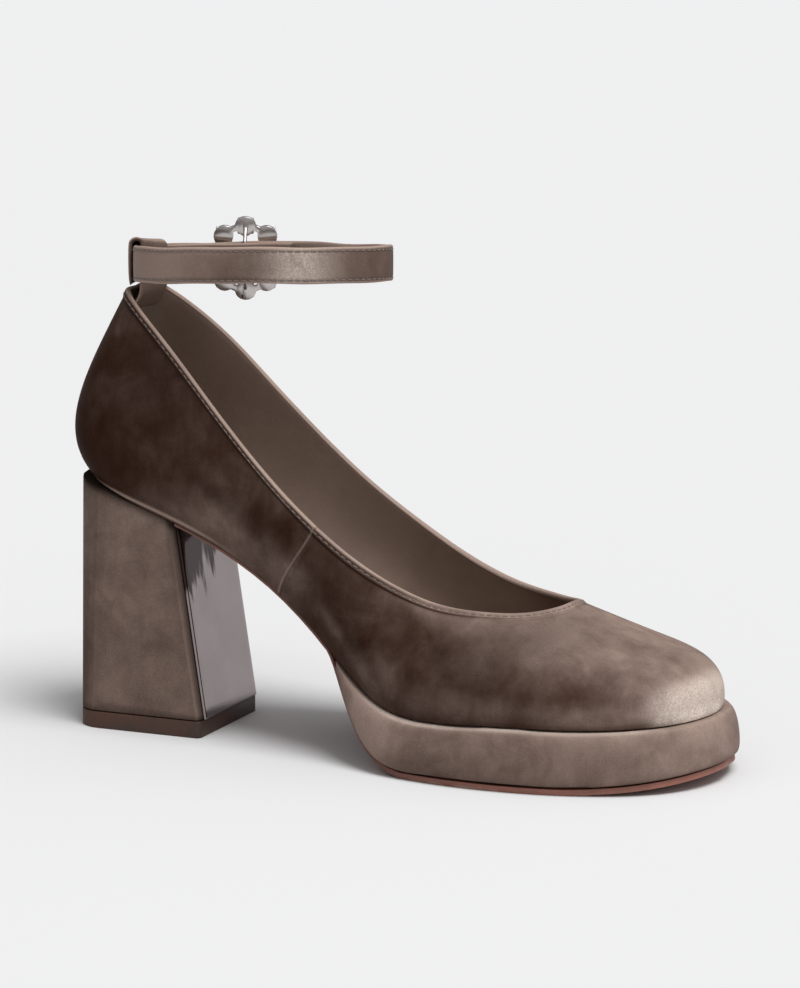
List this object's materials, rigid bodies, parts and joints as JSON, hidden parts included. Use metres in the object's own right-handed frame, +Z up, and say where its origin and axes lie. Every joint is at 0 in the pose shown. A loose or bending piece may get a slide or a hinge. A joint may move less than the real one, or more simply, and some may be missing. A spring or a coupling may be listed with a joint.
{
  "type": "ankle strap heeled shoe",
  "caption": "Left velvet pump with a covered platform, a block heel with a polished front plate, and an ankle strap held by a back loop and fastened by a jewelled ring buckle",
  "frame": {"origin": "on the floor under the middle of the shoe's box", "axes": "+X to the toe, +Y to the outer side of the left foot, +Z up"},
  "size_m": [0.2398, 0.0974, 0.1728],
  "materials": {
    "velvet_upper": "taupe brown velvet with a cloudy nap",
    "velvet_platform": "the same velvet wrapped over the platform",
    "velvet_heel": "the same velvet wrapped over the heel",
    "velvet_strap": "the same velvet, edges folded and stitched",
    "insole_leather": "smooth taupe leather sock",
    "outsole_leather": "red brown leather with a plain edge",
    "top_lift_rubber": "matt dark brown",
    "plate_metal": "polished pewter with a rose tint",
    "buckle_metal": "polished pewter",
    "crystal": "faceted clear crystal with a foil back"
  },
  "bodies": {
    "root": {"upper": "velvet_upper", "insole": "insole_leather", "platform": "velvet_platform", "outsole": "outsole_leather", "heel_block": "velvet_heel", "heel_plate": "plate_metal", "top_lift": "top_lift_rubber", "ankle_strap": "velvet_strap", "back_loop": "velvet_strap", "buckle_frame": "buckle_metal", "stone_1": "crystal", "stone_2": "crystal", "stone_3": "crystal", "stone_4": "crystal", "stone_5": "crystal", "stone_6": "crystal", "stone_7": "crystal", "stone_8": "crystal"}
  },
  "joints": []
}
